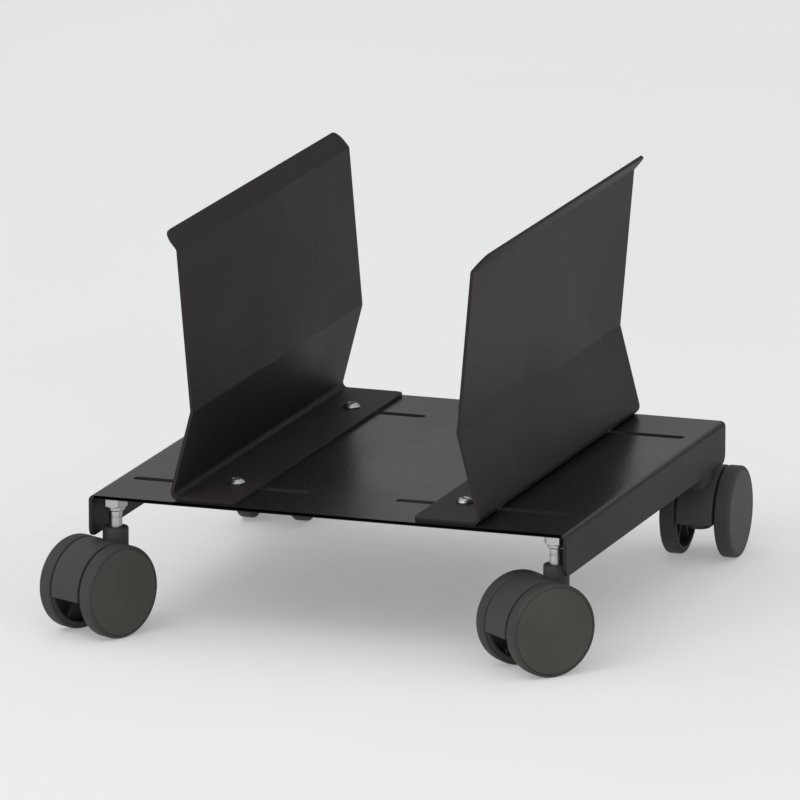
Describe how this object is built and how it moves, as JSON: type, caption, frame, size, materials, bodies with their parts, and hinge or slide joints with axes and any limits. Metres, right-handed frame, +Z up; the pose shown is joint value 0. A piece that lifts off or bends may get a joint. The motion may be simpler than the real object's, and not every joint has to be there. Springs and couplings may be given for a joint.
{
  "type": "computer holder trolley",
  "caption": "Rolling holder for a desktop computer: a flat sheet-steel tray on swivel casters with sliding bent side wings.",
  "frame": {"origin": "on the floor, under the middle of the whole object's bounding box; the tray's own middle is 6.6 mm towards +X, because the casters are turned differently", "axes": "+X to the right seen from the front, +Y to the rear, +Z up"},
  "size_m": [0.3313, 0.3552, 0.2411],
  "materials": {
    "powder_coat": "fine textured black powder coat, satin",
    "zinc": "bright zinc plate",
    "axle_steel": "drawn steel",
    "tyre": "smooth matt",
    "caster_plastic": "fine moulded satin"
  },
  "bodies": {
    "base": {"base_tray": "powder_coat", "caster_weld_nuts": "zinc", "caster_stems": "zinc"},
    "left_wing": {"left_wing": "powder_coat", "left_clamp_bolts": "zinc", "left_clamp_washers": "zinc", "left_lock_nuts": "zinc"},
    "right_wing": {"right_wing": "powder_coat", "right_clamp_bolts": "zinc", "right_clamp_washers": "zinc", "right_lock_nuts": "zinc"},
    "front_left_caster": {"front_left_caster_hood": "caster_plastic", "front_left_axle": "axle_steel"},
    "front_left_outer_wheel": {"front_left_outer_wheel": "caster_plastic", "front_left_outer_tyre": "tyre", "front_left_outer_cover": "caster_plastic"},
    "front_left_inner_wheel": {"front_left_inner_wheel": "caster_plastic", "front_left_inner_tyre": "tyre", "front_left_inner_cover": "caster_plastic"},
    "front_right_caster": {"front_right_caster_hood": "caster_plastic", "front_right_axle": "axle_steel"},
    "front_right_outer_wheel": {"front_right_outer_wheel": "caster_plastic", "front_right_outer_tyre": "tyre", "front_right_outer_cover": "caster_plastic"},
    "front_right_inner_wheel": {"front_right_inner_wheel": "caster_plastic", "front_right_inner_tyre": "tyre", "front_right_inner_cover": "caster_plastic"},
    "rear_left_caster": {"rear_left_caster_hood": "caster_plastic", "rear_left_axle": "axle_steel"},
    "rear_left_outer_wheel": {"rear_left_outer_wheel": "caster_plastic", "rear_left_outer_tyre": "tyre", "rear_left_outer_cover": "caster_plastic"},
    "rear_left_inner_wheel": {"rear_left_inner_wheel": "caster_plastic", "rear_left_inner_tyre": "tyre", "rear_left_inner_cover": "caster_plastic"},
    "rear_right_caster": {"rear_right_caster_hood": "caster_plastic", "rear_right_axle": "axle_steel"},
    "rear_right_outer_wheel": {"rear_right_outer_wheel": "caster_plastic", "rear_right_outer_tyre": "tyre", "rear_right_outer_cover": "caster_plastic"},
    "rear_right_inner_wheel": {"rear_right_inner_wheel": "caster_plastic", "rear_right_inner_tyre": "tyre", "rear_right_inner_cover": "caster_plastic"}
  },
  "joints": [
    {"name": "left_wing_slide", "type": "slide", "parent": "base", "child": "left_wing", "axis": [1, 0, 0], "range_m": [-0.0595, 0.0425]},
    {"name": "right_wing_slide", "type": "slide", "parent": "base", "child": "right_wing", "axis": [1, 0, 0], "range_m": [-0.038, 0.064]},
    {"name": "front_left_swivel", "type": "hinge", "parent": "base", "child": "front_left_caster", "pos_m": [-0.1284, -0.133, 0.05], "axis": [0, 0, 1], "continuous": true},
    {"name": "front_left_outer_wheel_roll", "type": "hinge", "parent": "front_left_caster", "child": "front_left_outer_wheel", "pos_m": [-0.13454, -0.14558, 0.0275], "axis": [0.8988, -0.4384, 0], "continuous": true},
    {"name": "front_left_inner_wheel_roll", "type": "hinge", "parent": "front_left_caster", "child": "front_left_inner_wheel", "pos_m": [-0.13454, -0.14558, 0.0275], "axis": [0.8988, -0.4384, 0], "continuous": true},
    {"name": "front_right_swivel", "type": "hinge", "parent": "base", "child": "front_right_caster", "pos_m": [0.1416, -0.133, 0.05], "axis": [0, 0, 1], "continuous": true},
    {"name": "front_right_outer_wheel_roll", "type": "hinge", "parent": "front_right_caster", "child": "front_right_outer_wheel", "pos_m": [0.1326, -0.14372, 0.0275], "axis": [0.766, -0.6428, 0], "continuous": true},
    {"name": "front_right_inner_wheel_roll", "type": "hinge", "parent": "front_right_caster", "child": "front_right_inner_wheel", "pos_m": [0.1326, -0.14372, 0.0275], "axis": [0.766, -0.6428, 0], "continuous": true},
    {"name": "rear_left_swivel", "type": "hinge", "parent": "base", "child": "rear_left_caster", "pos_m": [-0.1284, 0.133, 0.05], "axis": [0, 0, 1], "continuous": true},
    {"name": "rear_left_outer_wheel_roll", "type": "hinge", "parent": "rear_left_caster", "child": "rear_left_outer_wheel", "pos_m": [-0.12962, 0.14695, 0.0275], "axis": [-0.9962, -0.0872, 0], "continuous": true},
    {"name": "rear_left_inner_wheel_roll", "type": "hinge", "parent": "rear_left_caster", "child": "rear_left_inner_wheel", "pos_m": [-0.12962, 0.14695, 0.0275], "axis": [-0.9962, -0.0872, 0], "continuous": true},
    {"name": "rear_right_swivel", "type": "hinge", "parent": "base", "child": "rear_right_caster", "pos_m": [0.1416, 0.133, 0.05], "axis": [0, 0, 1], "continuous": true},
    {"name": "rear_right_outer_wheel_roll", "type": "hinge", "parent": "rear_right_caster", "child": "rear_right_outer_wheel", "pos_m": [0.14111, 0.14699, 0.0275], "axis": [-0.9994, -0.0349, 0], "continuous": true},
    {"name": "rear_right_inner_wheel_roll", "type": "hinge", "parent": "rear_right_caster", "child": "rear_right_inner_wheel", "pos_m": [0.14111, 0.14699, 0.0275], "axis": [-0.9994, -0.0349, 0], "continuous": true}
  ]
}
